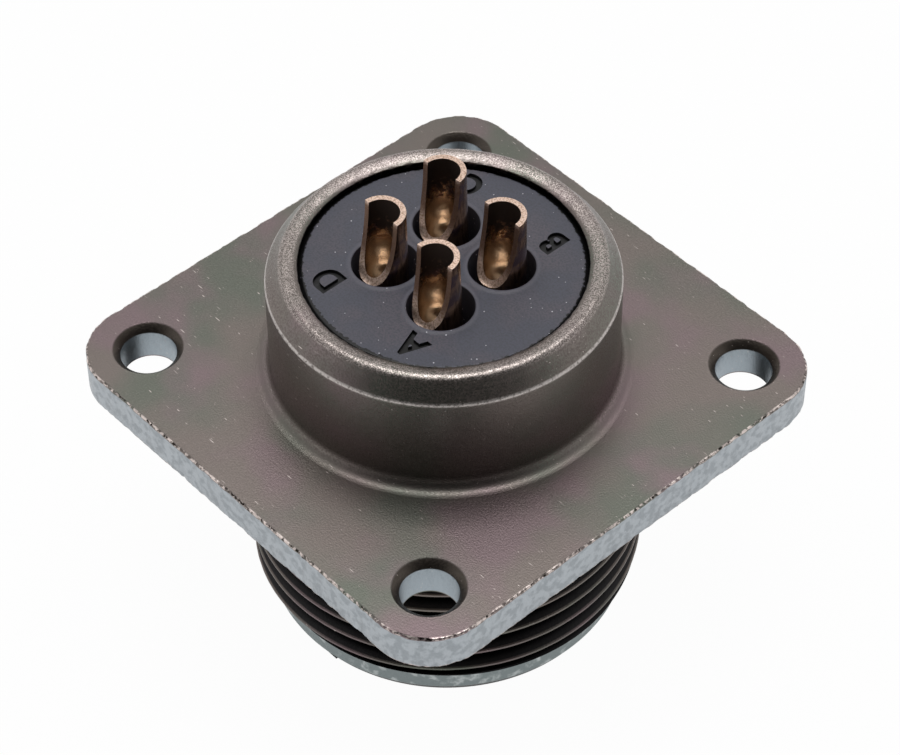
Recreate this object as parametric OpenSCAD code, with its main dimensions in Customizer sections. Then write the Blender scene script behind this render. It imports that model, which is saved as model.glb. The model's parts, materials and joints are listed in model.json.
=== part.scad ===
// Square-flange receptacle of a threaded circular connector, with four pin contacts and solder cups.
// +Z runs from the open mating end to the solder cups. The origin is the centre of the mating end's rim.

/* [Flange] */
// Side of the square flange
flange_w = 29.9; // [28:0.1:34]
// Thickness of the flange
flange_t = 2.3; // [1.6:0.1:4]
// Radius of the flange's corners
corner_r = 3.5; // [2.5:0.1:5]
// Broken edge of the flange
edge_break = 0.15; // [0.05:0.05:0.4]
// Distance between mounting holes, along one side
hole_spacing = 23.0; // [22:0.1:24]
// Diameter of a mounting hole
hole_d = 3.1; // [2:0.1:4]
// Width of the countersink on the solder side of a mounting hole
hole_sink = 0.4; // [0.1:0.1:0.8]

/* [Barrel] */
// Length of the threaded barrel, from its mouth to the flange
barrel_l = 14.2; // [12:0.1:20]
// Major diameter of the coupling thread
thread_d = 22.2; // [21.6:0.1:23]
// Diameter of the barrel's end face, inside its chamfer
nose_d = 20.0; // [19.6:0.1:20.4]
// Angle of the end chamfer from the axis
nose_angle = 30; // [20:5:45]
// Diameter of the plain pilot below the thread
pilot_d = 20.7; // [20.5:0.1:21.2]
// Height of that pilot above the barrel's end face
pilot_l = 1.65; // [1.2:0.05:3]
// Length of the thread relief beside the flange
relief_l = 2.1; // [1:0.1:3]
// Diameter of the thread relief
relief_d = 20.6; // [20.2:0.1:21]
// Bore of the mating end
mouth_d = 19.0; // [18:0.1:19.2]
// Depth of the mating end
mouth_depth = 9.6; // [8:0.1:10.5]
// Width of the keyway in the mating bore
key_w = 3.2; // [2:0.1:4]
// Depth of the keyway
key_depth = 0.5; // [0.2:0.1:0.6]

/* [Solder end] */
// Outside diameter of the collar
collar_d = 19.05; // [18.4:0.05:20]
// Height of the collar's straight wall above the flange
collar_h = 6.25; // [5:0.05:8]
// Fillet between collar and flange
collar_fillet = 0.8; // [0.3:0.1:1.4]
// Height of the rolled rim's crest above the flange
crest_h = 7.45; // [7.2:0.05:9]
// Diameter at the rolled rim's crest
crest_d = 16.9; // [16.4:0.1:17.4]
// Opening inside the rolled rim
lip_d = 15.45; // [15:0.05:16]
// Height of the lip's inner edge above the flange
lip_h = 7.26; // [7.15:0.01:7.4]

/* [Insulators] */
// Bore that holds the two insulators
seat_d = 16.3; // [16:0.1:17]
// Opening in the web that the insulators stop against
web_d = 14.8; // [14:0.1:15.4]
// Thickness of that web
web_t = 2.0; // [1.2:0.1:3]
// Height of the insulator's solder face above the flange
face_h = 7.0; // [6.5:0.05:7.1]
// Depth of the joint between the insulators below the flange's solder face
split_depth = 1.5; // [0.5:0.1:3]
// Clearance hole round a solder cup
cup_hole_d = 3.62; // [3.2:0.02:4]
// Depth of that hole
cup_hole_depth = 4.2; // [3:0.1:6]
// Width of the locating key that stops the insulators turning
index_w = 1.6; // [1:0.1:2.4]

/* [Contacts] */
// Distance between neighbouring contacts
contact_pitch = 4.36; // [4.2:0.02:4.8]
// Diameter of a pin
pin_d = 1.59; // [1.5:0.01:1.7]
// Length of pin that stands in the mating end
pin_l = 8.0; // [6:0.1:8.5]
// Diameter of the shank inside the front insulator
shank_d = 2.4; // [2:0.1:2.6]
// Depth of the shank's end below the front insulator's face
shank_inset = 0.15; // [0.1:0.01:0.16]
// Diameter of the shoulder that the insulators trap
shoulder_d = 3.3; // [2.8:0.1:3.6]
// Thickness of that shoulder
shoulder_t = 1.0; // [0.6:0.1:1.4]
// Outside diameter of a solder cup
cup_d = 2.62; // [2.5:0.02:2.8]
// Bore of a solder cup
well_d = 2.0; // [1.8:0.02:2.1]
// Height of a solder cup's top above the flange
cup_h = 10.7; // [9.5:0.1:12]
// Depth of the straight part of a cup's bore
well_depth = 4.35; // [3:0.05:4.6]
// Height above the flange at which the scoop in a cup's side ends
scoop_h = 6.45; // [6:0.05:7.5]
// Roundness of that scoop in side view: 2 is a quarter ellipse, less is nearer to a straight slope
scoop_bend = 1.7; // [1.4:0.1:2.4]

/* [Hidden] */
$fn = 96;

shell_colour = [0.28, 0.26, 0.24];
insulator_colour = [0.13, 0.13, 0.16];
contact_colour = [0.56, 0.42, 0.30];

flange_front = barrel_l;
flange_rear = barrel_l + flange_t;
face_z = flange_rear + face_h;
split_z = flange_rear - split_depth;
web_top = mouth_depth + web_t;
cup_top = flange_rear + cup_h;
cup_hole_z = face_z - cup_hole_depth;

// Slack between pieces that are seated in each other
slack = 0.05;
// Extra room round the part of a contact that floats in its insulator
float_slack = 0.15;
// How far a cutting shape runs past the face it opens
past = 1;
// How far the two insulators' edges stay back under the rolled lip
lip_cover = 0.2;
// Steps in a quarter turn where a profile is drawn as points
arc_steps = 8;

// Where each cup's top stands from the centre of its hole, and how far its open side turns from -Y
cup_set = [
  ["a", [1, -1], [-0.09, -0.29], 1],
  ["b", [1, 1], [-0.05, 0.03], 0],
  ["c", [-1, 1], [-0.26, -0.05], 5],
  ["d", [-1, -1], [-0.05, -0.13], -2]
];

// Points of an arc round c, from angle a0 to a1, in as many steps as its share of a quarter turn needs
function arc(c, r, a0, a1) =
  let (steps = max(2, ceil(abs(a1 - a0) / 90 * arc_steps)))
  [for (i = [0:steps]) c + r * [cos(a0 + (a1 - a0) * i / steps), sin(a0 + (a1 - a0) * i / steps)]];

// Half of the shell's section without the flange, from the mouth's inner edge round to its bore
function shell_section() =
  let (
    nose_l = (pilot_d - nose_d) / 2 / tan(nose_angle),
    lead_in = (thread_d - pilot_d) / 2,
    relief_z = flange_front - relief_l,
    relief_step = (thread_d - relief_d) / 2,
    collar_r = collar_d / 2,
    rim_z = flange_rear + collar_h,
    crest_z = flange_rear + crest_h,
    lip_z = flange_rear + lip_h,
    tuck = (seat_d - lip_d) / 2
  )
  concat(
    [
      [mouth_d / 2, 0],
      [nose_d / 2, 0],
      [pilot_d / 2, nose_l],
      [pilot_d / 2, pilot_l],
      [thread_d / 2, pilot_l + lead_in],
      [thread_d / 2, relief_z - relief_step],
      [relief_d / 2, relief_z],
      [relief_d / 2, flange_rear]
    ],
    arc([collar_r + collar_fillet, flange_rear + collar_fillet], collar_fillet, 270, 180),
    [
      [collar_r, rim_z],
      [crest_d / 2 + 0.2, crest_z - 0.15],
      [crest_d / 2, crest_z],
      [lip_d / 2, lip_z],
      [lip_d / 2, lip_z - lip_cover],
      [seat_d / 2, lip_z - lip_cover - tuck],
      [seat_d / 2, web_top],
      [web_d / 2, web_top],
      [web_d / 2, mouth_depth],
      [mouth_d / 2, mouth_depth]
    ]
  );

// Section of a flange slab across its thickness, with both outer edges broken
module slab_section() {
  half = flange_w / 2;
  polygon([
    [-half + edge_break, 0],
    [half - edge_break, 0],
    [half, edge_break],
    [half, flange_t - edge_break],
    [half - edge_break, flange_t],
    [-half + edge_break, flange_t],
    [-half, flange_t - edge_break],
    [-half, edge_break]
  ]);
}

module slab() {
  side = flange_w - 2 * corner_r;
  translate([0, side / 2, 0])
    rotate([90, 0, 0])
      linear_extrude(height = side)
        slab_section();
}

module corner_post() {
  rotate_extrude()
    polygon([
      [0, 0],
      [corner_r - edge_break, 0],
      [corner_r, edge_break],
      [corner_r, flange_t - edge_break],
      [corner_r - edge_break, flange_t],
      [0, flange_t]
    ]);
}

module at_corners(spacing) {
  for (x = [-1, 1], y = [-1, 1])
    translate([x * spacing / 2, y * spacing / 2, 0])
      children();
}

module flange() {
  slab();
  rotate([0, 0, 90])
    slab();
  at_corners(flange_w - 2 * corner_r)
    corner_post();
}

module mounting_hole() {
  translate([0, 0, -past])
    cylinder(h = flange_t + 2 * past, d = hole_d);
  translate([0, 0, flange_t - hole_sink])
    cylinder(h = hole_sink + past, d1 = hole_d, d2 = hole_d + 2 * (hole_sink + past));
}

// Flange, threaded barrel and collar are one piece. Its lip is rolled over the insulators' edge.
module shell() {
  color(shell_colour)
    difference() {
      union() {
        rotate_extrude()
          polygon(shell_section());
        difference() {
          translate([0, 0, flange_front])
            flange();
          cylinder(h = flange_rear + past, d = seat_d + 1);
        }
      }
      translate([0, 0, flange_front])
        at_corners(hole_spacing)
          mounting_hole();
      translate([-key_w / 2, -mouth_d / 2 - key_depth, -past])
        cube([key_w, mouth_d / 4, mouth_depth + past]);
      translate([-index_w / 2, -seat_d / 2 + slack, mouth_depth - past])
        cube([index_w, seat_d / 4, web_t + 2 * past]);
    }
}

module at_contacts() {
  for (c = cup_set)
    translate([c[1].x * contact_pitch / 2, c[1].y * contact_pitch / 2, 0])
      children();
}

// Front half: its nose fills the web's opening, and it holds the pins and their shoulders
module front_insulator() {
  body_r = seat_d / 2 - slack;
  nose_r = web_d / 2 - slack;
  shank_top = split_z - shoulder_t;
  color(insulator_colour)
    difference() {
      union() {
        translate([0, 0, web_top])
          cylinder(h = split_z - web_top, r = body_r);
        translate([0, 0, mouth_depth])
          cylinder(h = web_top - mouth_depth + past / 2, r = nose_r);
        translate([-index_w / 2 + slack, -body_r + slack, mouth_depth])
          cube([index_w - 2 * slack, body_r / 2, web_top - mouth_depth + past / 2]);
      }
      at_contacts() {
        translate([0, 0, mouth_depth - past])
          cylinder(h = split_z, d = shank_d + 2 * slack);
        translate([0, 0, shank_top])
          cylinder(h = split_z, d = shoulder_d + 2 * slack);
      }
    }
}

// Rear half: its solder face shows inside the rolled rim, with a wide hole round each cup
module rear_insulator() {
  body_r = seat_d / 2 - slack;
  bevel = body_r - lip_d / 2 + lip_cover;
  color(insulator_colour)
    difference() {
      rotate_extrude()
        polygon([
          [0, split_z],
          [body_r, split_z],
          [body_r, face_z - bevel],
          [body_r - bevel, face_z],
          [0, face_z]
        ]);
      at_contacts() {
        translate([0, 0, split_z - past])
          cylinder(h = face_h + flange_t, d = cup_d + 2 * float_slack);
        translate([0, 0, cup_hole_z])
          cylinder(h = cup_hole_depth + past, d = cup_hole_d);
      }
    }
}

// Side view of the milling cut that opens a cup: upright at the cup's top, flat at its lip
module scoop_profile() {
  reach = cup_d / 2 + 0.02;
  start = 0.03;
  lip_z = flange_rear + scoop_h;
  rise = cup_h - scoop_h;
  steps = 3 * arc_steps;
  points = [
    for (i = [0:steps])
      let (a = 90 * i / steps, back = pow(sin(a), 2 / scoop_bend), up = 1 - pow(cos(a), 2 / scoop_bend))
      [reach - (reach - start) * back, lip_z + rise * up]
  ];
  polygon(concat(
    points,
    [[start, cup_top + past], [reach + past, cup_top + past], [reach + past, lip_z]]
  ));
}

// One turned contact: pin, shank, trapped shoulder, and a cup that is bored and then opened on one side
module contact(i) {
  place = cup_set[i][1] * contact_pitch / 2;
  lean = cup_set[i][2];
  turn = cup_set[i][3];
  seat_z = split_z - shoulder_t;
  tip_z = mouth_depth - pin_l;
  tip_r = 0.55;
  barrel_base = split_z - shoulder_t / 2;
  lever = cup_top - barrel_base;
  tilt = atan2(norm(lean), lever);
  heading = atan2(lean.y, lean.x);
  color(contact_colour)
    translate([place.x, place.y, 0]) {
      rotate_extrude()
        polygon(concat(
          [[0, tip_z]],
          arc([pin_d / 2 - tip_r, tip_z + tip_r], tip_r, 270, 360),
          [
            [pin_d / 2, mouth_depth + shank_inset],
            [shank_d / 2, mouth_depth + shank_inset],
            [shank_d / 2, seat_z],
            [shoulder_d / 2, seat_z],
            [shoulder_d / 2, split_z - slack],
            [0, split_z - slack]
          ]
        ));
      translate([0, 0, barrel_base])
        rotate([0, 0, heading])
          rotate([0, tilt, 0])
            rotate([0, 0, turn - heading - 90])
              translate([0, 0, -barrel_base])
                solder_cup(barrel_base);
    }
}

// The cup stands on its shoulder, with the scoop facing +X
module solder_cup(base) {
  difference() {
    translate([0, 0, base])
      cylinder(h = cup_top - base, d = cup_d);
    translate([0, 0, cup_top - well_depth])
      cylinder(h = well_depth + past, d = well_d);
    translate([0, 0, cup_top - well_depth])
      sphere(d = well_d);
    translate([0, cup_d, 0])
      rotate([90, 0, 0])
        linear_extrude(height = 2 * cup_d)
          scoop_profile();
  }
}

shell();
front_insulator();
rear_insulator();
contact(0);  // contact_a
contact(1);  // contact_b
contact(2);  // contact_c
contact(3);  // contact_d
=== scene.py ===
# Looks of a square-flange connector receptacle: plated shell with a coupling thread, moulded insulators,
# and four pin contacts whose scooped solder cups stand out of the rear insulator.

import json
import math

import bmesh
import bpy
from mathutils import Matrix, Vector, noise

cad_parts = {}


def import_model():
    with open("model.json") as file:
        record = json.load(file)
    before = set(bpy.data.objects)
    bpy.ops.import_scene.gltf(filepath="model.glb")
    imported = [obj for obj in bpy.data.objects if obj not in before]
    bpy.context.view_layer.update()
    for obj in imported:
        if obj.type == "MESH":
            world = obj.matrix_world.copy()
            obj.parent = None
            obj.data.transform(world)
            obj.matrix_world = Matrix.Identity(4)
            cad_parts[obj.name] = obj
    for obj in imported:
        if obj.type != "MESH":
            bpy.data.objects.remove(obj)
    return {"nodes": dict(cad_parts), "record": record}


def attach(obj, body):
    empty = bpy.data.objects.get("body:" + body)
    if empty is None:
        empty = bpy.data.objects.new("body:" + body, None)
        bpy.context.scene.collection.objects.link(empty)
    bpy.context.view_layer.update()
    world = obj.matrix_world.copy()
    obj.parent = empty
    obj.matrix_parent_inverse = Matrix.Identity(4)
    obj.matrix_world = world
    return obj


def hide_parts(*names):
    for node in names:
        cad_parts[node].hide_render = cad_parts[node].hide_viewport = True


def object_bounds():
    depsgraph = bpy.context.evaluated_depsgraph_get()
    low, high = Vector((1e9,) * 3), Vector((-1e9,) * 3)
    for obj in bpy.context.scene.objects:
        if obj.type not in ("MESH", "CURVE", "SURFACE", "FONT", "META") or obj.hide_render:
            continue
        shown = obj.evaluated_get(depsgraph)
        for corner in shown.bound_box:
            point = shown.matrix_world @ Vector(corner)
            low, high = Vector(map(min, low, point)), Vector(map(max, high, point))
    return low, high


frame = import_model()
solid_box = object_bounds()

# ---------------------------------------------------------------------------------------------------------
# Sizes in millimetres, in the part's own frame
# ---------------------------------------------------------------------------------------------------------

MM = 0.001
# Points closer than this are one, and two places closer than this are the same
MERGE = 2e-4
NEAR = 1e-4
# An edge that bends more is shaded sharp, and so is nearly any edge of a level face
SHARP = math.radians(20)
SHARP_ON_LEVEL = 0.01
LEVEL = 0.99999

mounts = {mount["name"]: mount for mount in frame["record"]["mounts"]}

# Flange
flange_half = solid_box[1].x / MM
front_z = mounts["panel_face"]["pos_m"][2] / MM
rear_z = mounts["solder_side_face"]["pos_m"][2] / MM
corner_r = 3.5
corner_steps = 28
side_cuts = 119
edge_break = 0.15
edge_dent_in = 0.09
edge_dent_down = 0.05
hole_r = mounts["flange_holes"]["dims"]["hole_r_mm"]
hole_at = mounts["flange_holes"]["dims"]["spacing_x_mm"] / 2
sink = 0.4

# Barrel and its 7/8-20 thread
thread_r = mounts["barrel"]["dims"]["r_mm"]
pitch = 1.27
crest_flat = pitch / 8
nose_r = 10.0
nose_angle = math.radians(30)
pilot_r = 10.35
pilot_z = 1.65
thread_depth = thread_r - pilot_r
relief_r = 10.3
relief_z = front_z - 2.1
mouth_r = 9.5
mouth_depth = 9.6
web_top = 11.6
web_r = 7.4
key_half = 1.6
key_floor = 9.98
index_half = 0.8
# Height at which a crest passes azimuth 0
crest_at = 0.678
# Shares of a pitch at which the thread has a row of points, closest together at crest and root
THREAD_ROWS = (
    0, 0.05, 0.10, 0.17, 0.24, 0.30, 0.36, 0.41, 0.46, 0.54, 0.59, 0.64, 0.70, 0.76, 0.83, 0.90,
)

# Collar and rolled rim
collar_r = 9.525
fillet = 0.8
shoulder_z = rear_z + 6.25
crest_r = 8.45
crest_z = rear_z + 7.45
lip_r = 7.725
lip_z = rear_z + 7.26
seat_r = 8.15
rim_roll = 0.42

# Rear insulator
face_z = rear_z + 7.0
split_z = rear_z - 1.5
body_r = 8.1
face_r = 7.525
cup_hole_r = 1.81
cup_hole_z = face_z - 4.2
shank_hole_r = 1.46
letter_cut = 0.22
letter_height = 2.2
letter_weight = 0.09
letter_narrowing = 0.86

# Contacts
half_pitch = abs(mounts["pin_a"]["pos_m"][0]) / MM
pin_r = mounts["pin_a"]["dims"]["r_mm"]
pin_tip = 1.6
pin_round = 0.55
pin_wall_top = 9.75
shank_r = 1.2
shoulder_r = 1.65
cup_r = 1.31
well_r = 1.0
cup_top = rear_z + 10.7
well_floor = cup_top - 4.35
cup_base = split_z - 0.5
scoop_reach = cup_r + 0.02
scoop_start = 0.03
scoop_lip = rear_z + 6.45
scoop_bend = 1.7

# Contact letter: side of the axis in x and y, lean of its cup's top, turn of its scoop, place of its letter
CONTACTS = {
    "a": ((1, -1), (-0.09, -0.29), 1, (3.24, -5.15)),
    "b": ((1, 1), (-0.05, 0.03), 0, (2.75, 5.45)),
    "c": ((-1, 1), (-0.26, -0.05), 5, (-3.60, 5.20)),
    "d": ((-1, -1), (-0.05, -0.13), -2, (-3.30, -5.17)),
}

# Steps round a full turn: of the shell, a hole, a pin and a cup
TURN_STEPS = 288
HOLE_STEPS = 96
PIN_STEPS = 64
CUP_STEPS = 192


# ---------------------------------------------------------------------------------------------------------
# Shapes
# ---------------------------------------------------------------------------------------------------------

def arc(centre, radius, start, end, steps):
    """Points of an arc in the radius-height plane, angles in degrees."""
    points = []
    for i in range(steps + 1):
        angle = math.radians(start + (end - start) * i / steps)
        points.append((centre[0] + radius * math.cos(angle), centre[1] + radius * math.sin(angle)))
    return points


def turn(bm, points, steps, centre=(0, 0), rise=0.0):
    """Turns a profile of (radius, height) points once round an upright axis, climbing by rise.
    An eighth is spun, and doubled three times, because a long spin is slow. Its seams are merged later."""
    x, y = centre
    part = bmesh.new()
    verts = [part.verts.new((r, 0, z)) for r, z in points]
    edges = [part.edges.new(pair) for pair in zip(verts, verts[1:])]
    bmesh.ops.spin(
        part,
        geom=verts + edges,
        axis=(0, 0, 1),
        dvec=(0, 0, rise / steps),
        angle=math.tau / 8,
        steps=steps // 8,
    )
    for share in (1 / 8, 1 / 4, 1 / 2):
        copied = bmesh.ops.duplicate(part, geom=part.verts[:] + part.edges[:] + part.faces[:])["geom"]
        moved = [item for item in copied if isinstance(item, bmesh.types.BMVert)]
        bmesh.ops.rotate(part, matrix=Matrix.Rotation(math.tau * share, 3, "Z"), verts=moved)
        bmesh.ops.translate(part, vec=(0, 0, rise * share), verts=moved)
    bmesh.ops.remove_doubles(part, verts=part.verts, dist=MERGE)
    bmesh.ops.translate(part, vec=(x, y, 0), verts=part.verts)
    join(bm, part)


def join(bm, part):
    """Adds a bmesh to another, and frees it."""
    mesh = bpy.data.meshes.new("part")
    part.to_mesh(mesh)
    part.free()
    bm.from_mesh(mesh)
    bpy.data.meshes.remove(mesh)


def open_edges(bm, z):
    """The open edges that lie in the plane at height z."""
    return [
        edge for edge in bm.edges
        if len(edge.link_faces) < 2 and all(abs(v.co.z - z) < NEAR for v in edge.verts)
    ]


def fill_plane(bm, z):
    """Closes a flat face between all open loops at height z, whichever of them are holes."""
    up = (0, 0, 1)
    bmesh.ops.triangle_fill(bm, use_beauty=True, edges=open_edges(bm, z), normal=up)


def finish_piece(name, bm, materials, stands_for):
    """Closes seams, points faces outwards, shades edges by angle and rides the piece on the body."""
    bmesh.ops.remove_doubles(bm, verts=bm.verts, dist=MERGE)
    bmesh.ops.recalc_face_normals(bm, faces=bm.faces)
    for face in bm.faces:
        face.smooth = True
    for edge in bm.edges:
        on_level = any(abs(face.normal.z) > LEVEL for face in edge.link_faces)
        bend = edge.calc_face_angle(0)
        edge.smooth = edge.is_manifold and bend < (SHARP_ON_LEVEL if on_level else SHARP)
    bmesh.ops.scale(bm, vec=(MM, MM, MM), verts=bm.verts)
    mesh = bpy.data.meshes.new(name)
    bm.to_mesh(mesh)
    bm.free()
    obj = bpy.data.objects.new(name, mesh)
    bpy.context.scene.collection.objects.link(obj)
    for material in materials:
        mesh.materials.append(material)
    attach(obj, "root")
    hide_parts(stands_for)
    return obj


def grain(point, size, seed=0.0):
    """Smooth noise from -1 to 1 with features about size millimetres across."""
    return noise.noise(Vector(point) / size + Vector((seed, seed * 1.7, -seed)))


# Shell ---------------------------------------------------------------------------------------------------

def slab(bm):
    """The flange: a square with round corners, drawn up to its thickness, with its edges broken."""
    grid = bmesh.ops.create_grid(bm, x_segments=1, y_segments=1, size=flange_half)
    bmesh.ops.bevel(
        bm,
        geom=grid["verts"],
        offset=corner_r,
        affect="VERTICES",
        segments=corner_steps,
        profile=0.5,
        material=-1,
    )
    straight = [edge for edge in bm.edges if edge.calc_length() > corner_r]
    bmesh.ops.subdivide_edges(bm, edges=straight, cuts=side_cuts)
    bmesh.ops.translate(bm, vec=(0, 0, front_z), verts=bm.verts)
    raised = bmesh.ops.extrude_face_region(bm, geom=bm.faces[:])["geom"]
    top = [item for item in raised if isinstance(item, bmesh.types.BMVert)]
    bmesh.ops.translate(bm, vec=(0, 0, rear_z - front_z), verts=top)
    rims = [edge for edge in bm.edges if abs(edge.verts[0].co.z - edge.verts[1].co.z) < 1e-6]
    bmesh.ops.bevel(
        bm, geom=rims, offset=edge_break, affect="EDGES", segments=3, profile=0.5, material=-1
    )
    flats = [face for face in bm.faces if len(face.verts) > 4]
    bmesh.ops.delete(bm, geom=flats, context="FACES_ONLY")
    wear_flange_edge(bm)


def wear_flange_edge(bm):
    """Knocks and filing marks along the flange's edges, the same on both faces."""
    middle = (front_z + rear_z) / 2
    edge = bm.verts.layers.float.new("edge")
    for vert in bm.verts:
        height = vert.co.z
        depth = rear_z - height if height > middle else height - front_z
        if NEAR < depth < edge_break - 1e-2:
            vert[edge] = 1.0
        if NEAR < depth < edge_break + 1e-3:
            dent = max(0.0, grain(vert.co, 0.45, 3.1)) + 0.6 * max(0.0, grain(vert.co, 0.17, 8.3))
            inward = Vector((vert.co.x, vert.co.y, 0)).normalized() * -edge_dent_in * dent
            vert.co += inward
            vert.co.z += (edge_dent_down if height < middle else -edge_dent_down) * dent


def flange_hole(bm, centre):
    """A drilled hole with a countersink on the solder side and a broken edge below."""
    turn(
        bm,
        [
            (hole_r + sink + 0.03, rear_z),
            (hole_r + sink - 0.02, rear_z - 0.03),
            (hole_r + 0.03, rear_z - sink + 0.03),
            (hole_r, rear_z - sink - 0.03),
            (hole_r, front_z + 0.06),
            (hole_r + 0.06, front_z),
        ],
        HOLE_STEPS,
        centre,
    )


def thread_radius(z, angle):
    """Radius of the barrel's outside: the thread, held inside its end chamfer and its relief."""
    along = abs((z - pitch * angle / math.tau - crest_at + pitch / 2) % pitch - pitch / 2)
    flank = (along - crest_flat / 2) / math.tan(math.radians(30))
    wear = 0.012 * grain((11 * math.cos(angle), 11 * math.sin(angle), z), 0.5, 1.0)
    thread = thread_r + wear - min(max(flank, 0.0), thread_depth)
    nose = min(nose_r + z * math.tan(nose_angle), pilot_r + max(0.0, z - pilot_z))
    relief = relief_r + max(0.0, relief_z - z)
    return min(thread, nose, relief) if z < relief_z else relief_r


def coupling_thread(bm):
    """A right-hand thread, spun as a climbing cylinder whose points are then drawn in to the profile."""
    rows = int((front_z + 3 * pitch) / pitch * len(THREAD_ROWS)) + 1
    start = crest_at - 2 * pitch
    heights = []
    for row in range(rows):
        turns, spot = divmod(row, len(THREAD_ROWS))
        heights.append(start + pitch * (turns + THREAD_ROWS[spot] + crest_flat / pitch / 2))
    part = bmesh.new()
    turn(part, [(thread_r, z) for z in heights], TURN_STEPS, rise=pitch)
    for vert in part.verts:
        angle = math.atan2(vert.co.y, vert.co.x) % math.tau
        step = round(angle / math.tau * TURN_STEPS) % TURN_STEPS
        angle = step / TURN_STEPS * math.tau
        z = min(max(vert.co.z, 0.0), front_z)
        r = thread_radius(z, angle)
        vert.co = (r * math.cos(angle), r * math.sin(angle), z)
    bmesh.ops.remove_doubles(part, verts=part.verts, dist=MERGE)
    join(bm, part)


def collar_profile():
    """From the flange face up the collar, over the rolled rim, down the bore and out at the mouth."""
    corner = [
        (collar_r, shoulder_z - 0.06),
        (collar_r - 0.015, shoulder_z - 0.01),
        (collar_r - 0.05, shoulder_z + 0.05),
    ]
    slope = [(9.30, shoulder_z + 0.28), (9.10, shoulder_z + 0.53), (8.93, shoulder_z + 0.75)]
    inward = [
        (8.20, crest_z - 0.025),
        (8.02, crest_z - 0.07),
        (7.88, crest_z - 0.115),
        (7.78, crest_z - 0.16),
    ]
    return (
        arc((collar_r + fillet, rear_z + fillet), fillet, 270, 180, 9)
        + [(collar_r, z) for z in (rear_z + 1.6, rear_z + 3.0, rear_z + 4.6, shoulder_z - 0.25)]
        + corner
        + slope
        + arc((crest_r - 0.02, crest_z - rim_roll), rim_roll, 38, 98, 7)
        + inward
        + [(lip_r, lip_z - 0.03), (lip_r, lip_z - 0.2)]
        + [(seat_r, lip_z - 0.2 - (seat_r - lip_r)), (seat_r, web_top)]
        + [(web_r, web_top), (web_r, mouth_depth), (mouth_r, mouth_depth)]
        + [(mouth_r, 0.03), (mouth_r + 0.03, 0.0), (nose_r, 0.0)]
    )


def wear_rim(bm):
    """The rolled rim is lumpy from rolling, and its inner edge is ragged."""
    for vert in bm.verts:
        r = math.hypot(vert.co.x, vert.co.y)
        if vert.co.z > shoulder_z + 0.1 and lip_r - 0.05 < r < 9.2:
            out = Vector((vert.co.x / r, vert.co.y / r, 0))
            lumps = 0.020 * grain(vert.co, 0.9, 2.0) + 0.013 * grain(vert.co, 0.28, 5.0)
            vert.co.z += min(lumps, 0.02) - 0.02
            if r < lip_r + 0.08:
                vert.co += out * (0.05 * grain(vert.co, 0.35, 7.0) + 0.03 * grain(vert.co, 0.16, 4.0))


def cut_slot(bm, radius, low, high, half, floor):
    """Pushes the part of a bore within half of the -Y direction out to floor, with upright sides."""
    step = math.tau / TURN_STEPS
    columns = round(math.asin(half / radius) / step)
    for vert in bm.verts:
        r = math.hypot(vert.co.x, vert.co.y)
        if abs(r - radius) > 0.04 or not low - 1e-3 < vert.co.z < high + 1e-3 or vert.co.y > 0:
            continue
        column = abs(round(math.asin(vert.co.x / r) / step))
        side = math.copysign(half, vert.co.x)
        if column == columns:
            vert.co.x = side
            vert.co.y = -math.sqrt(r * r - half * half)
        elif column == columns - 1:
            vert.co.x = side
            vert.co.y = -floor
        elif column < columns - 1:
            vert.co.y = -floor


def shell_mesh():
    bm = bmesh.new()
    slab(bm)
    for x in (-hole_at, hole_at):
        for y in (-hole_at, hole_at):
            flange_hole(bm, (x, y))
    turn(bm, collar_profile(), TURN_STEPS)
    wear_rim(bm)
    cut_slot(bm, mouth_r, 0, mouth_depth, key_half, key_floor)
    cut_slot(bm, web_r, mouth_depth, web_top, index_half, body_r)
    coupling_thread(bm)
    bmesh.ops.remove_doubles(bm, verts=bm.verts, dist=MERGE)
    fill_plane(bm, rear_z)
    fill_plane(bm, front_z)
    return bm


# Rear insulator ------------------------------------------------------------------------------------------

def contact_place(key):
    """Centre of a contact's hole."""
    side = CONTACTS[key][0]
    return (side[0] * half_pitch, side[1] * half_pitch)


def insulator_mesh():
    bm = bmesh.new()
    turn(
        bm,
        [
            (face_r - 0.08, face_z),
            (face_r - 0.02, face_z - 0.02),
            (face_r + 0.05, face_z - 0.08),
            (body_r, face_z - (body_r - face_r)),
            (body_r, split_z),
        ],
        TURN_STEPS,
    )
    for key in CONTACTS:
        turn(
            bm,
            [
                (cup_hole_r + 0.34, face_z),
                (cup_hole_r + 0.25, face_z + 0.012),
                (cup_hole_r + 0.16, face_z + 0.03),
                (cup_hole_r + 0.08, face_z + 0.03),
                (cup_hole_r + 0.02, face_z + 0.005),
                (cup_hole_r, face_z - 0.05),
                (cup_hole_r, cup_hole_z),
                (shank_hole_r, cup_hole_z),
                (shank_hole_r, split_z),
            ],
            HOLE_STEPS,
            contact_place(key),
        )
        letter_recess(bm, key)
    bmesh.ops.remove_doubles(bm, verts=bm.verts, dist=MERGE)
    fill_plane(bm, face_z)
    fill_plane(bm, split_z)
    return bm


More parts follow.
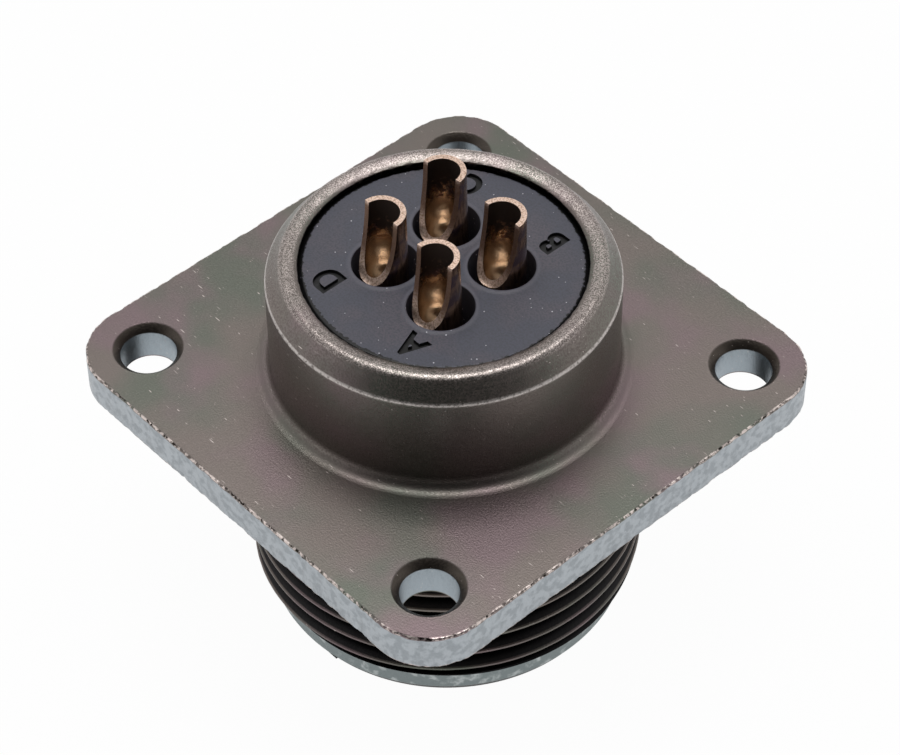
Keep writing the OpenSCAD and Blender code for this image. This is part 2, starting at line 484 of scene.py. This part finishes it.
def letter_recess(bm, key):
    """A contact letter sunk into the solder face, upright when -Y is up: its floor and its walls."""
    text = bpy.data.curves.new("letter_" + key, "FONT")
    text.body = key.upper()
    text.size = letter_height
    text.align_x = "CENTER"
    text.align_y = "CENTER"
    text.offset = letter_weight
    text.resolution_u = 6
    obj = bpy.data.objects.new("letter_" + key, text)
    bpy.context.scene.collection.objects.link(obj)
    bpy.context.view_layer.update()
    mesh = bpy.data.meshes.new_from_object(obj)
    bpy.data.objects.remove(obj)
    x, y = CONTACTS[key][3]
    place = Matrix.Translation((x, y, face_z - letter_cut)) @ Matrix.Rotation(math.pi, 4, "Z")
    mesh.transform(place @ Matrix.Diagonal((letter_narrowing, 1, 1, 1)))
    part = bmesh.new()
    part.from_mesh(mesh)
    bpy.data.meshes.remove(mesh)
    bmesh.ops.remove_doubles(part, verts=part.verts, dist=MERGE)
    outline = [edge for edge in part.edges if edge.is_boundary]
    walls = bmesh.ops.extrude_edge_only(part, edges=outline)["geom"]
    raised = [item for item in walls if isinstance(item, bmesh.types.BMVert)]
    bmesh.ops.translate(part, vec=(0, 0, letter_cut), verts=raised)
    for face in part.faces:
        face.material_index = 1
    join(bm, part)


# Contacts ------------------------------------------------------------------------------------------------

def scoop_height(forward):
    """Height of the milled cut at a distance towards the cup's open side."""
    share = (scoop_reach - forward) / (scoop_reach - scoop_start)
    if share > 1:
        return cup_top
    return scoop_lip + (cup_top - scoop_lip) * (1 - (1 - share ** scoop_bend) ** (1 / scoop_bend))


def well_point(travel):
    """Radius and height on the well's wall, after so much travel up from the middle of its floor."""
    bend = well_r * math.pi / 2
    if travel < bend:
        angle = travel / well_r
        return well_r * math.sin(angle), well_floor - well_r * math.cos(angle)
    return well_r, well_floor + travel - bend


def well_cut(cosine):
    """Travel up the well's wall at which the milled cut ends it, for one direction round the cup."""
    low, high = 0.0, well_r * math.pi / 2 + cup_top - well_floor
    for _ in range(30):
        middle = (low + high) / 2
        r, z = well_point(middle)
        if z < scoop_height(r * cosine):
            low = middle
        else:
            high = middle
    return low


def solder_cup(bm):
    """A cup spun whole, open side towards +X, whose points then slide down to the milled cut."""
    wall_rows, rim_rows, well_rows = 12, 4, 30
    wall = [(cup_r, cup_base + (cup_top - cup_base) * i / wall_rows) for i in range(wall_rows)]
    rim = [(cup_r - (cup_r - well_r) * i / rim_rows, cup_top) for i in range(rim_rows + 1)]
    full = well_r * math.pi / 2 + cup_top - well_floor
    well = [well_point(full * (1 - i / well_rows)) for i in range(1, well_rows)]
    turn(bm, [(0, cup_base)] + wall + rim + well + [(0, well_floor - well_r)], CUP_STEPS)
    bmesh.ops.remove_doubles(bm, verts=bm.verts, dist=MERGE)
    inside = bm.verts.layers.float.new("inside")
    for face in bm.faces:
        rim_face = all(v.co.z > cup_top - NEAR for v in face.verts)
        face.material_index = 1 if rim_face else 0
    for vert in bm.verts:
        r = math.hypot(vert.co.x, vert.co.y)
        cosine = vert.co.x / r if r > 1e-6 else 1.0
        z = vert.co.z
        if r > cup_r - NEAR:
            share = (z - cup_base) / (cup_top - cup_base)
            vert.co.z = cup_base + share * (scoop_height(cup_r * cosine) - cup_base)
        elif z > cup_top - NEAR and r > well_r + NEAR:
            inner_r, inner_z = well_point(well_cut(cosine))
            share = (cup_r - r) / (cup_r - well_r)
            new_r = cup_r + (inner_r - cup_r) * share
            outer_z = scoop_height(cup_r * cosine)
            straight = outer_z + (inner_z - outer_z) * share
            bow = scoop_height(new_r * cosine)
            vert.co = (new_r * cosine, vert.co.y / r * new_r, min(bow, max(straight, bow)))
        elif z > cup_base + NEAR:
            if z > well_floor:
                travel = z - well_floor + well_r * math.pi / 2
            else:
                travel = well_r * math.asin(min(1, r / well_r))
            new_r, new_z = well_point(travel / full * well_cut(cosine))
            sine = vert.co.y / r if r > 1e-6 else 0.0
            vert.co = (new_r * cosine, new_r * sine, new_z)
            vert[inside] = 1.0


def contact_mesh(key):
    side, lean, twist, _ = CONTACTS[key]
    bm = bmesh.new()
    solder_cup(bm)
    lever = cup_top - cup_base
    tilt = math.atan2(math.hypot(*lean), lever)
    heading = math.atan2(lean[1], lean[0])
    twist_in = math.radians(twist) - heading - math.pi / 2
    pose = (
        Matrix.Translation((0, 0, cup_base))
        @ Matrix.Rotation(heading, 4, "Z")
        @ Matrix.Rotation(tilt, 4, "Y")
        @ Matrix.Rotation(twist_in, 4, "Z")
        @ Matrix.Translation((0, 0, -cup_base))
    )
    bmesh.ops.transform(bm, matrix=pose, verts=bm.verts)
    turn(
        bm,
        [(0, pin_tip)]
        + arc((pin_r - pin_round, pin_tip + pin_round), pin_round, 270, 360, 8)
        + [
            (pin_r, pin_wall_top),
            (shank_r, pin_wall_top),
            (shank_r, split_z - 1.0),
            (shoulder_r, split_z - 1.0),
            (shoulder_r, split_z - 0.05),
            (0, split_z - 0.05),
        ],
        PIN_STEPS,
    )
    x, y = contact_place(key)
    bmesh.ops.translate(bm, vec=(x, y, 0), verts=bm.verts)
    return bm


# ---------------------------------------------------------------------------------------------------------
# Materials
# ---------------------------------------------------------------------------------------------------------

def colour(code):
    """An sRGB hex colour as linear red, green, blue and alpha."""
    channels = [int(code[i:i + 2], 16) / 255 for i in (0, 2, 4)]
    linear = [c / 12.92 if c <= 0.04045 else ((c + 0.055) / 1.055) ** 2.4 for c in channels]
    return (*linear, 1.0)


def add(tree, kind, inputs, **settings):
    """Adds a node. inputs gives each socket a value, or another node's output to link it to."""
    made = tree.nodes.new(kind)
    for name, value in settings.items():
        setattr(made, name, value)
    for socket, value in inputs.items():
        if isinstance(value, bpy.types.NodeSocket):
            tree.links.new(value, made.inputs[socket])
        else:
            made.inputs[socket].default_value = value
    return made


def new_material(name):
    material = bpy.data.materials.new(name)
    material.use_nodes = True
    material.node_tree.nodes.clear()
    return material, material.node_tree


def millimetres(tree):
    """Places on the part in millimetres, so that every pattern below is sized in millimetres."""
    place = add(tree, "ShaderNodeTexCoord", {})
    scaled = add(tree, "ShaderNodeVectorMath", {0: place.outputs["Object"], 3: 1 / MM}, operation="SCALE")
    return scaled.outputs[0]


def plan_distances(tree, mm, spread):
    """Seen from above: how far a place is from the part's axis, and from the nearest of the four
    places that lie spread from the middle both ways."""
    flat = add(tree, "ShaderNodeVectorMath", {0: mm, 1: (1, 1, 0)}, operation="MULTIPLY").outputs[0]
    r = add(tree, "ShaderNodeVectorMath", {0: flat}, operation="LENGTH").outputs["Value"]
    quarter = add(tree, "ShaderNodeVectorMath", {0: flat}, operation="ABSOLUTE").outputs[0]
    nearest = add(tree, "ShaderNodeVectorMath", {0: quarter, 1: (spread, spread, 0)}, operation="DISTANCE")
    return r, nearest.outputs["Value"]


def where(tree, *bands):
    """A mask that holds where all of the bands do. A band is another mask, or it is a value, the number
    at which it starts to hold and the number from which it holds fully."""
    held = None
    for band in bands:
        mask = band
        if isinstance(band, tuple):
            value, low, high = band
            eased = add(
                tree,
                "ShaderNodeMapRange",
                {"Value": value, "From Min": low, "From Max": high},
                interpolation_type="SMOOTHSTEP",
            )
            mask = eased.outputs[0]
        if held is None:
            held = mask
        else:
            held = add(tree, "ShaderNodeMath", {0: held, 1: mask}, operation="MULTIPLY").outputs[0]
    return held


def cloud(tree, mm, size, low, high, detail=2.0):
    """Soft patches about size millimetres across."""
    made = add(tree, "ShaderNodeTexNoise", {"Vector": mm, "Scale": 1 / size, "Detail": detail})
    return where(tree, (made.outputs["Fac"], low, high))


def nicks(tree, mm, turned, long, wide, share):
    """Small marks, long by wide millimetres, all turned one way. Only a share of the places have one."""
    # A mark's place is four marks long and four wide, and the mark reaches a quarter of that at most
    room, reach_most, fade = 4, 0.25, 0.10
    lined = add(
        tree,
        "ShaderNodeMapping",
        {
            "Vector": mm,
            "Rotation": turned,
            "Scale": (1 / (room * long), 1 / (room * wide), 1 / (room * wide)),
        },
        vector_type="POINT",
    )
    cell = add(tree, "ShaderNodeTexVoronoi", {"Vector": lined.outputs[0], "Scale": 1.0})
    pick = add(tree, "ShaderNodeSeparateColor", {"Color": cell.outputs["Color"]})
    reach = add(
        tree,
        "ShaderNodeMapRange",
        {"Value": pick.outputs["Green"], "From Min": 1 - share, "From Max": 1.0, "To Max": reach_most},
        interpolation_type="SMOOTHSTEP",
    )
    left = add(
        tree,
        "ShaderNodeMath",
        {0: reach.outputs[0], 1: cell.outputs["Distance"]},
        operation="SUBTRACT",
    )
    return where(tree, (left.outputs[0], 0.0, fade))


def coated(tree, base, coats):
    """A base colour with coats laid over it in turn. Each coat shows where all of its bands hold."""
    tone = colour(base)
    for code, *bands in coats:
        mask = where(tree, *bands)
        laid = add(tree, "ShaderNodeMix", {0: mask, 6: tone, 7: colour(code)}, data_type="RGBA")
        tone = laid.outputs[2]
    return tone


def surface(tree, tone, metallic, rough, height, strength, depth):
    """Joins colour, roughness and a relief that is depth millimetres deep to the material's output."""
    bump = add(tree, "ShaderNodeBump", {"Height": height, "Strength": strength, "Distance": depth * MM})
    shader = add(
        tree,
        "ShaderNodeBsdfPrincipled",
        {"Base Color": tone, "Metallic": metallic, "Roughness": rough, "Normal": bump.outputs[0]},
    )
    add(tree, "ShaderNodeOutputMaterial", {"Surface": shader.outputs[0]})


def worn_plate():
    """Turned and drilled aluminium under a grey-brown conversion plating. It has a dull metal sheen with
    soft green and mauve clouds and a haze of short bright nicks. Rubbed edges show bare silver and the
    filed flange sides are pale. The countersinks, the thread's flanks and grooves, the barrel's end and
    inside, and the lip's inner face are painted dark, as painted shade."""
    material, tree = new_material("worn_conversion_plate")
    mm = millimetres(tree)
    second = add(tree, "ShaderNodeVectorMath", {0: mm, 1: (31, 17, 5)}, operation="ADD").outputs[0]
    z = add(tree, "ShaderNodeSeparateXYZ", {"Vector": mm}).outputs["Z"]
    r, hole_d = plan_distances(tree, mm, hole_at)
    edge = add(tree, "ShaderNodeAttribute", {}, attribute_name="edge").outputs["Fac"]

    # Where things are: heights, distances from the axis and distances from a flange hole's middle
    in_flange = where(
        tree,
        (z, rear_z - 0.14, rear_z - 0.18),
        (r, relief_r + 0.3, relief_r + 0.6),
        (z, front_z + 0.10, front_z + 0.14),
    )
    bore = where(tree, in_flange, (hole_d, hole_r + 0.3, hole_r + 0.1))
    sides = where(tree, in_flange, (hole_d, hole_r + 0.1, hole_r + 0.3))
    elsewhere = where(tree, (sides, 1.0, 0.0))
    sunk = where(
        tree,
        (hole_d, hole_r + sink + 0.02, hole_r + sink - 0.06),
        (hole_d, hole_r - 0.02, hole_r + 0.02),
        (z, rear_z - sink - 0.10, rear_z - sink - 0.02),
    )
    above = where(tree, (z, rear_z + 0.02, rear_z + 0.30))
    barrel = where(tree, (z, front_z, front_z - 0.02))
    pilot = where(
        tree,
        (z, pilot_z + 0.30, pilot_z + 0.15),
        (r, mouth_r + 0.1, mouth_r + 0.2),
        (r, pilot_r - 0.08, pilot_r - 0.02),
    )
    crest = where(tree, (z, crest_z - 0.30, crest_z - 0.10), (r, lip_r + 0.1, lip_r + 0.3))
    corner = where(
        tree,
        (z, shoulder_z - 0.16, shoulder_z - 0.06),
        (z, shoulder_z + 0.12, shoulder_z + 0.04),
    )
    lip = where(tree, (r, lip_r + 0.05, lip_r), (z, lip_z - 0.5, lip_z - 0.4))

    # Wear. The plating's own grain is about a hundredth of a millimetre, so it is drawn 0.07 to 0.1 mm
    # across, as coarse as it needs to be to show. The nicks and cuts have their real sizes.
    fine = cloud(tree, mm, 0.10, 0.35, 0.70, 3.0)
    grains = cloud(tree, mm, 0.07, 0.40, 0.64, 3.0)
    busy = cloud(tree, second, 1.6, 0.50, 0.66)
    haze = nicks(tree, mm, (0, 0, math.radians(-20)), 0.10, 0.03, 0.50)
    cuts = nicks(tree, second, (0, 0.5, math.radians(-42)), 0.26, 0.03, 0.30)
    strays = nicks(tree, second, (0, 0.4, math.radians(55)), 0.14, 0.03, 0.07)

    tone = coated(
        tree,
        "857c77",
        [
            ("75786f", cloud(tree, mm, 7.0, 0.40, 0.66)),
            ("8a7a7c", cloud(tree, second, 5.0, 0.46, 0.70)),
            ("756c68", fine, above),
            ("b9bfc4", sides),
            ("a4aaaf", sides, cloud(tree, mm, 0.45, 0.42, 0.62, 4.0)),
            ("aab4bb", bore),
            # Painted shade: the countersinks are darker brown all round
            ("5a534d", sunk),
            ("b3a8a3", haze, busy, elsewhere),
            ("e0d5cf", cuts, busy, elsewhere),
            ("d5cac4", strays, elsewhere),
            ("c6bbb6", crest, grains),
            ("c9c2be", corner, cloud(tree, mm, 0.16, 0.20, 0.55)),
            ("f2e4de", edge, cloud(tree, mm, 0.22, 0.42, 0.56)),
            ("2b2622", edge, cloud(tree, second, 0.3, 0.58, 0.66)),
            # Painted shade: the thread's flanks below the crest are dark grey, and its grooves, the barrel's
            # end and its inside are near black
            ("3a393a", barrel, (r, thread_r - 0.03, thread_r - 0.12)),
            ("0c0c0e", barrel, (r, thread_r - 0.12, thread_r - 0.60)),
            ("9ca6a7", pilot),
            ("d5dcdc", pilot, cloud(tree, second, 0.8, 0.50, 0.66, 4.0)),
            # Painted shade: the lip's inner face is black
            ("050505", lip),
        ],
    )
    rough = add(
        tree,
        "ShaderNodeMapRange",
        {"Value": fine, "To Min": 0.36, "To Max": 0.48},
        interpolation_type="SMOOTHSTEP",
    )
    surface(tree, tone, 1.0, rough.outputs[0], fine, 0.35, 0.010)
    return material


def moulded_insulator():
    """Moulded phenolic, matte and dark blue-grey. It has fine pores with white dust in some of them and
    paler rings where the cup holes are broken. The cup holes' walls are black, painted shade, and a black,
    ragged band at the rolled lip is painted shade in the gap there."""
    material, tree = new_material("matte_moulded_insulator")
    mm = millimetres(tree)
    y = add(tree, "ShaderNodeSeparateXYZ", {"Vector": mm}).outputs["Y"]
    r, hole_d = plan_distances(tree, mm, half_pitch)
    # Real pores are finer than this. They are drawn 0.12 mm across to show
    fine = cloud(tree, mm, 0.12, 0.35, 0.70, 3.0)
    dust = nicks(tree, mm, (0, 0, 0), 0.05, 0.05, 0.13)
    ring = add(
        tree,
        "ShaderNodeMapRange",
        {"Value": hole_d, "From Min": cup_hole_r + 0.35, "From Max": cup_hole_r + 0.1, "To Max": 0.5},
        interpolation_type="SMOOTHSTEP",
    ).outputs[0]

    # The painted shade in the lip's gap has an edge that wanders a quarter of a millimetre, and it is wider
    # towards -Y
    jag = add(tree, "ShaderNodeTexNoise", {"Vector": mm, "Scale": 1 / 0.25, "Detail": 2.0}).outputs["Fac"]
    ragged = add(tree, "ShaderNodeMath", {0: jag, 1: 0.5, 2: r}, operation="MULTIPLY_ADD").outputs[0]
    gap_shade_from = add(
        tree,
        "ShaderNodeMapRange",
        {"Value": y, "From Min": -6.0, "From Max": -7.2, "To Min": 7.70, "To Max": 7.55},
        interpolation_type="SMOOTHSTEP",
    ).outputs[0]
    past = add(tree, "ShaderNodeMath", {0: ragged, 1: gap_shade_from}, operation="SUBTRACT").outputs[0]

    tone = coated(
        tree,
        "4c4d59",
        [
            ("56515a", cloud(tree, mm, 3.0, 0.42, 0.62)),
            ("45464f", fine),
            ("66656f", ring),
            # Painted shade: the cup holes' walls are black
            ("050506", (hole_d, cup_hole_r + 0.02, cup_hole_r - 0.02)),
            ("c9c8d0", dust),
            # Painted shade: black in the gap at the rolled lip
            ("020202", (past, 0.0, 0.05)),
        ],
    )
    surface(tree, tone, 0.0, 0.5, fine, 0.3, 0.010)
    return material


def letter_black():
    """Black in the sunk letters, flat, with a few paler grey patches."""
    material, tree = new_material("black_letter_recess")
    mm = millimetres(tree)
    tone = coated(tree, "040405", [("1c1c20", cloud(tree, mm, 0.3, 0.55, 0.75))])
    shader = add(tree, "ShaderNodeBsdfPrincipled", {"Base Color": tone, "Roughness": 0.6})
    add(tree, "ShaderNodeOutputMaterial", {"Surface": shader.outputs[0]})
    return material


def tarnished_bronze():
    """Turned copper alloy, tarnished in handling. It is brown and purple in upright streaks outside.
    Deep in the cup's bowl it is painted pale gold, a painted light, and up in its bore it is dark brown
    and rougher, where it hardly shines."""
    material, tree = new_material("tarnished_bronze")
    mm = millimetres(tree)
    z = add(tree, "ShaderNodeSeparateXYZ", {"Vector": mm}).outputs["Z"]
    inside = add(tree, "ShaderNodeAttribute", {}, attribute_name="inside").outputs["Fac"]
    streaked = add(tree, "ShaderNodeVectorMath", {0: mm, 1: (3, 3, 0.6)}, operation="MULTIPLY").outputs[0]
    blotches = cloud(tree, mm, 0.35, 0.35, 0.55)
    # The edge of the dark band up in the bore wanders 0.8 mm up and down
    level = add(tree, "ShaderNodeMath", {0: blotches, 1: 0.8, 2: z}, operation="MULTIPLY_ADD").outputs[0]
    black = where(tree, inside, (level, cup_top - 2.3, cup_top - 0.9))
    tone = coated(
        tree,
        "b8957a",
        [
            ("7a5c48", cloud(tree, streaked, 0.8, 0.40, 0.62)),
            ("7a6468", cloud(tree, mm, 0.9, 0.50, 0.66)),
            # Painted light: pale gold deep in the bowl, where light falls into the cup
            ("cdb9a4", inside, (level, cup_top - 1.6, cup_top - 2.6)),
            ("4a3f39", black),
        ],
    )
    rough = add(
        tree,
        "ShaderNodeMapRange",
        {"Value": black, "To Min": 0.24, "To Max": 0.6},
        interpolation_type="SMOOTHSTEP",
    )
    surface(tree, tone, 1.0, rough.outputs[0], blotches, 0.2, 0.02)
    return material


def cut_bronze():
    """Freshly milled copper alloy. It is pinkish, pale and a little granular, and browner on the upright
    part of the cut."""
    material, tree = new_material("milled_bronze")
    mm = millimetres(tree)
    z = add(tree, "ShaderNodeSeparateXYZ", {"Vector": mm}).outputs["Z"]
    # The cutter's marks are finer than this. They are drawn 0.1 mm across to show
    fine = cloud(tree, mm, 0.10, 0.40, 0.65)
    below_top = add(
        tree,
        "ShaderNodeMapRange",
        {"Value": z, "From Min": cup_top - 0.02, "From Max": cup_top - 0.3, "To Max": 0.85},
        interpolation_type="SMOOTHSTEP",
    ).outputs[0]
    tone = coated(
        tree,
        "e6cdbd",
        [
            ("b89a86", fine),
            ("7d5f4c", below_top, (z, scoop_lip + 0.5, scoop_lip + 1.6)),
        ],
    )
    surface(tree, tone, 1.0, 0.45, fine, 0.4, 0.02)
    return material


plated = worn_plate()
moulded = moulded_insulator()
lettered = letter_black()
bronze = tarnished_bronze()
cut = cut_bronze()

# ---------------------------------------------------------------------------------------------------------
# The part
# ---------------------------------------------------------------------------------------------------------

finish_piece("shell_body", shell_mesh(), [plated], "shell")
finish_piece("rear_insert", insulator_mesh(), [moulded, lettered], "rear_insulator")
for key in CONTACTS:
    finish_piece("pin_contact_" + key, contact_mesh(key), [bronze, cut], "contact_" + key)
front = frame["nodes"]["front_insulator"]
front.data.materials.clear()
front.data.materials.append(moulded)

# ---------------------------------------------------------------------------------------------------------
# Floor, light and camera
# ---------------------------------------------------------------------------------------------------------

# Direction of the room's dark side, which keeps the near faces of the metal dark
DARK_SIDE = (0.68, -0.60, 0.42)
# How much of the card is lit backdrop: to the camera, and in metal
CARD_SEEN = 0.97
CARD_IN_METAL = 0.5
CAMERA_AT = (86.04, -76.42, 136.65)
CAMERA_YAW = 48.26
CAMERA_DOWN = 46.64
CAMERA_ROLL = -0.743
LENS = 122.118

def floor():
    """A wide white card. It shows as a lit backdrop to the camera and in metal, and keeps the shadow."""
    bm = bmesh.new()
    bmesh.ops.create_grid(bm, x_segments=1, y_segments=1, size=2.0)
    mesh = bpy.data.meshes.new("floor")
    bm.to_mesh(mesh)
    bm.free()
    obj = bpy.data.objects.new("floor", mesh)
    bpy.context.scene.collection.objects.link(obj)
    material, tree = new_material("white_card")
    path = add(tree, "ShaderNodeLightPath", {})
    diffuse = add(tree, "ShaderNodeBsdfDiffuse", {"Color": colour("f2f2f2")})
    glow = add(tree, "ShaderNodeEmission", {"Color": (1, 1, 1, 1), "Strength": 1.0})
    seen = add(tree, "ShaderNodeMath", {0: path.outputs["Is Camera Ray"], 1: CARD_SEEN}, operation="MULTIPLY")
    glossy = path.outputs["Is Glossy Ray"]
    shine = add(tree, "ShaderNodeMath", {0: glossy, 1: CARD_IN_METAL}, operation="MULTIPLY")
    share = add(tree, "ShaderNodeMath", {0: seen.outputs[0], 1: shine.outputs[0]}, operation="ADD")
    share = add(
        tree,
        "ShaderNodeMath",
        {0: share.outputs[0], 1: path.outputs["Is Transmission Ray"]},
        operation="ADD",
        use_clamp=True,
    )
    mix = add(tree, "ShaderNodeMixShader", {0: share.outputs[0], 1: diffuse.outputs[0], 2: glow.outputs[0]})
    add(tree, "ShaderNodeOutputMaterial", {"Surface": mix.outputs[0]})
    mesh.materials.append(material)


def world():
    """White behind the part; a darker room on the camera's side and a greyer ceiling for its light."""
    made = bpy.data.worlds.new("studio")
    made.use_nodes = True
    tree = made.node_tree
    tree.nodes.clear()
    path = add(tree, "ShaderNodeLightPath", {})
    way = add(tree, "ShaderNodeTexCoord", {})
    parts = add(tree, "ShaderNodeSeparateXYZ", {0: way.outputs["Generated"]})
    ceiling = add(
        tree,
        "ShaderNodeMapRange",
        {"Value": parts.outputs["Z"], "From Min": 0.05, "From Max": 0.6, "To Min": 1.0, "To Max": 0.5},
        interpolation_type="SMOOTHSTEP",
    )
    near = add(
        tree,
        "ShaderNodeVectorMath",
        {0: way.outputs["Generated"], 1: DARK_SIDE},
        operation="DOT_PRODUCT",
    )
    dark = add(
        tree,
        "ShaderNodeMapRange",
        {"Value": near.outputs["Value"], "From Min": 0.30, "From Max": 0.85, "To Min": 1.0, "To Max": 0.04},
        interpolation_type="SMOOTHSTEP",
    )
    room = add(tree, "ShaderNodeMath", {0: ceiling.outputs[0], 1: dark.outputs[0]}, operation="MULTIPLY")
    lit = add(
        tree,
        "ShaderNodeMix",
        {0: path.outputs["Is Camera Ray"], 2: room.outputs[0], 3: 1.0},
        data_type="FLOAT",
    )
    back = add(tree, "ShaderNodeBackground", {"Color": (1, 1, 1, 1), "Strength": lit.outputs[0]})
    add(tree, "ShaderNodeOutputWorld", {"Surface": back.outputs[0]})
    bpy.context.scene.world = made


def lamp(name, at, size, radiance, aim=(0, 0, 0.012)):
    """A soft square lamp, in metres, whose face shows the given radiance."""
    data = bpy.data.lights.new(name, "AREA")
    data.shape = "SQUARE"
    data.size = size
    data.energy = radiance * math.pi * size * size
    obj = bpy.data.objects.new(name, data)
    obj.location = at
    obj.rotation_euler = (Vector(aim) - Vector(at)).to_track_quat("-Z", "Y").to_euler()
    bpy.context.scene.collection.objects.link(obj)


def camera():
    """A long lens that looks down on the solder side, past the flange's +X -Y corner."""
    data = bpy.data.cameras.new("camera")
    data.lens = LENS
    data.sensor_width = 36.0
    data.clip_start = 0.01
    data.clip_end = 20.0
    obj = bpy.data.objects.new("camera", data)
    turned = (
        Matrix.Rotation(math.radians(CAMERA_YAW), 4, "Z")
        @ Matrix.Rotation(math.radians(90 - CAMERA_DOWN), 4, "X")
        @ Matrix.Rotation(math.radians(CAMERA_ROLL), 4, "Z")
    )
    obj.matrix_world = Matrix.Translation(Vector(CAMERA_AT) * MM) @ turned
    bpy.context.scene.collection.objects.link(obj)
    bpy.context.scene.camera = obj


floor()
world()
lamp("overhead", (-0.03, 0.03, 0.35), 0.22, 4.0)
camera()
bpy.context.scene.view_settings.view_transform = "Standard"
